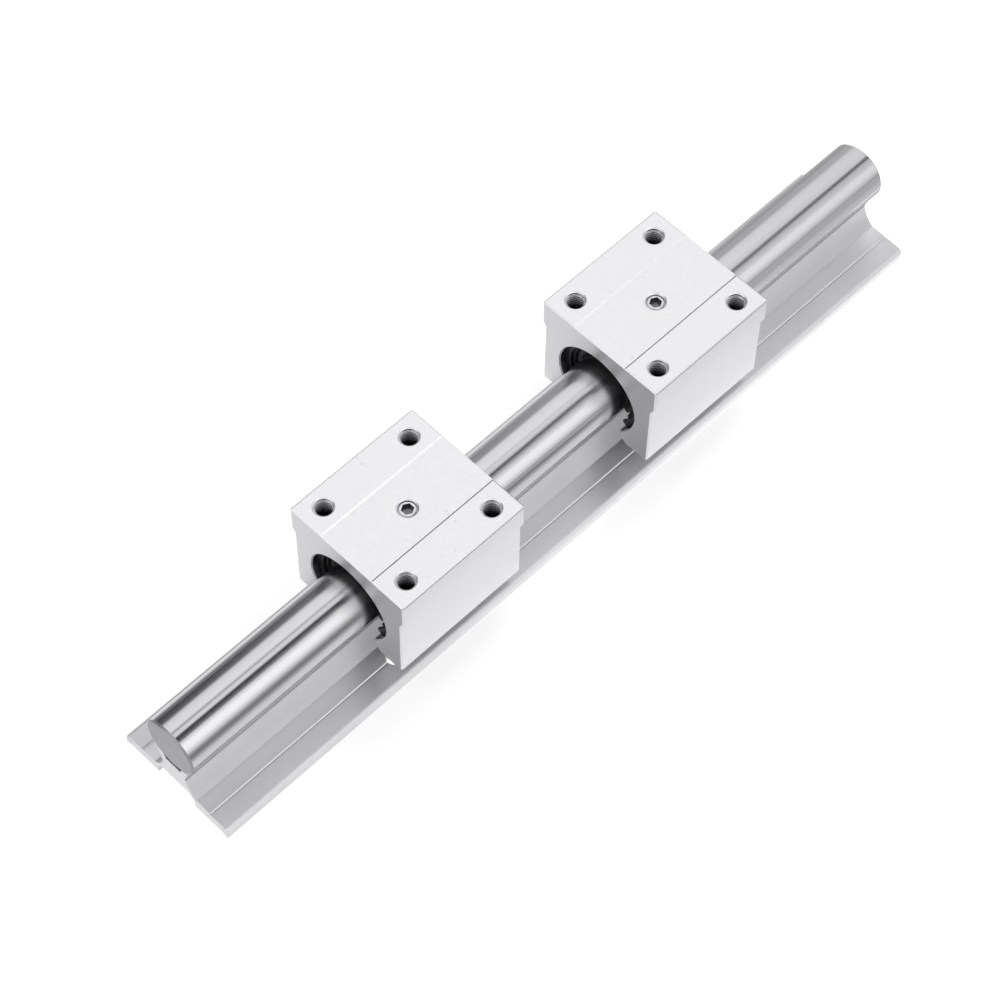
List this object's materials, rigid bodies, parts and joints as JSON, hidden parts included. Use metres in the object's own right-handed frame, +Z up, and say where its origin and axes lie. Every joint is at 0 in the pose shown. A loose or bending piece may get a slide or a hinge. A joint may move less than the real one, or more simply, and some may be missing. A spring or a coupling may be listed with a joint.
{
  "type": "supported round rail",
  "caption": "Round hardened shaft screwed along an aluminium support, with open ball bearing blocks that slide on it and carry tapped mounting holes.",
  "frame": {"origin": "middle of the support's underside, at the centre of its width and length", "axes": "+X across the rail, +Y along the shaft towards the rear carriage, +Z up to the carriages' mounting faces"},
  "size_m": [0.048, 0.3, 0.05],
  "materials": {
    "shaft_chrome": "ground and hard chromed, mirror bright",
    "support_aluminium": "matte, as extruded",
    "housing_aluminium": "fine blasted and clear anodised, sawn end faces",
    "sleeve_steel": "ground steel",
    "retainer_plastic": "black moulded plastic",
    "seal_rubber": "black rubber",
    "ring_steel": "black phosphated spring steel",
    "set_screw_steel": "plain steel",
    "screw_steel": "blackened steel"
  },
  "bodies": {
    "rail": {"shaft": "shaft_chrome", "support_rail": "support_aluminium", "shaft_screw_1": "screw_steel", "shaft_screw_2": "screw_steel"},
    "carriage_front": {"front_housing": "housing_aluminium", "front_sleeve": "sleeve_steel", "front_ball_retainer": "retainer_plastic", "front_seal_front": "seal_rubber", "front_seal_rear": "seal_rubber", "front_snap_ring_front": "ring_steel", "front_snap_ring_rear": "ring_steel", "front_set_screw": "set_screw_steel"},
    "carriage_rear": {"rear_housing": "housing_aluminium", "rear_sleeve": "sleeve_steel", "rear_ball_retainer": "retainer_plastic", "rear_seal_front": "seal_rubber", "rear_seal_rear": "seal_rubber", "rear_snap_ring_front": "ring_steel", "rear_snap_ring_rear": "ring_steel", "rear_set_screw": "set_screw_steel"}
  },
  "joints": [
    {"name": "front_slide", "type": "slide", "parent": "rail", "child": "carriage_front", "axis": [0, 1, 0], "range_m": [-0.071, 0.0285]},
    {"name": "rear_slide", "type": "slide", "parent": "rail", "child": "carriage_rear", "axis": [0, 1, 0], "range_m": [-0.0265, 0.073]}
  ]
}
